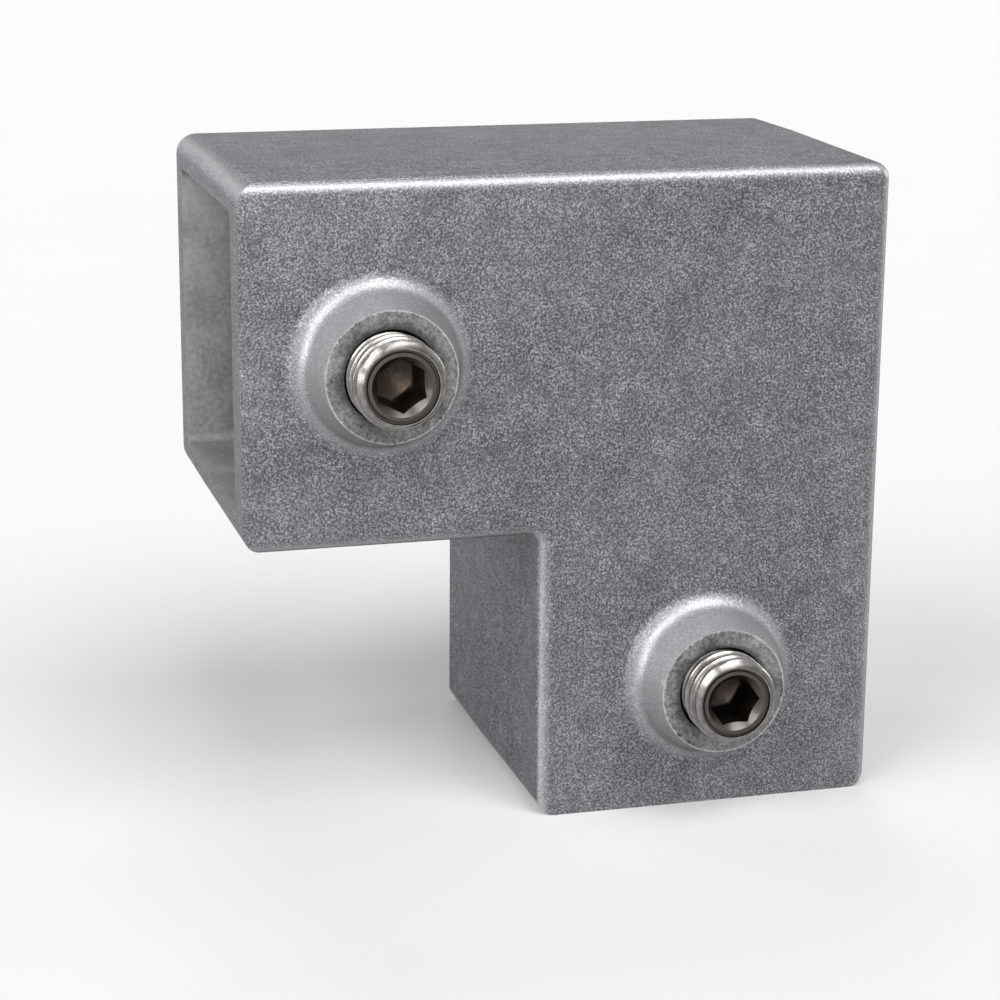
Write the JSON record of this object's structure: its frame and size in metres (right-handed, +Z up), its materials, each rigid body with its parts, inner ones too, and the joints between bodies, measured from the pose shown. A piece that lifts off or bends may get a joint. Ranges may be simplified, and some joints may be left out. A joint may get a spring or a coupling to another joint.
{
  "type": "square tube elbow connector",
  "caption": "Right-angle cast elbow that joins square tube at a frame corner; each leg is an open square socket with a domed boss and a hexagon socket set screw that clamps the tube.",
  "frame": {"origin": "centre of the lower socket's mouth, on the axis of the tube that it takes", "axes": "+Z runs up the lower leg, -X runs out along the side leg, -Y is the side that carries the set screws"},
  "size_m": [0.058, 0.0407, 0.058],
  "materials": {
    "cast_aluminium": "die cast, shot blasted",
    "screw_steel": "bright zinc plated"
  },
  "bodies": {
    "elbow": {"elbow_casting": "cast_aluminium"},
    "side_screw": {"side_set_screw": "screw_steel"},
    "lower_screw": {"lower_set_screw": "screw_steel"}
  },
  "joints": [
    {"name": "side_screw_feed", "type": "slide", "parent": "elbow", "child": "side_screw", "axis": [0, 1, 0], "range_m": [-0.0042, 0.0038]},
    {"name": "lower_screw_feed", "type": "slide", "parent": "elbow", "child": "lower_screw", "axis": [0, 1, 0], "range_m": [-0.0048, 0.0032]}
  ]
}
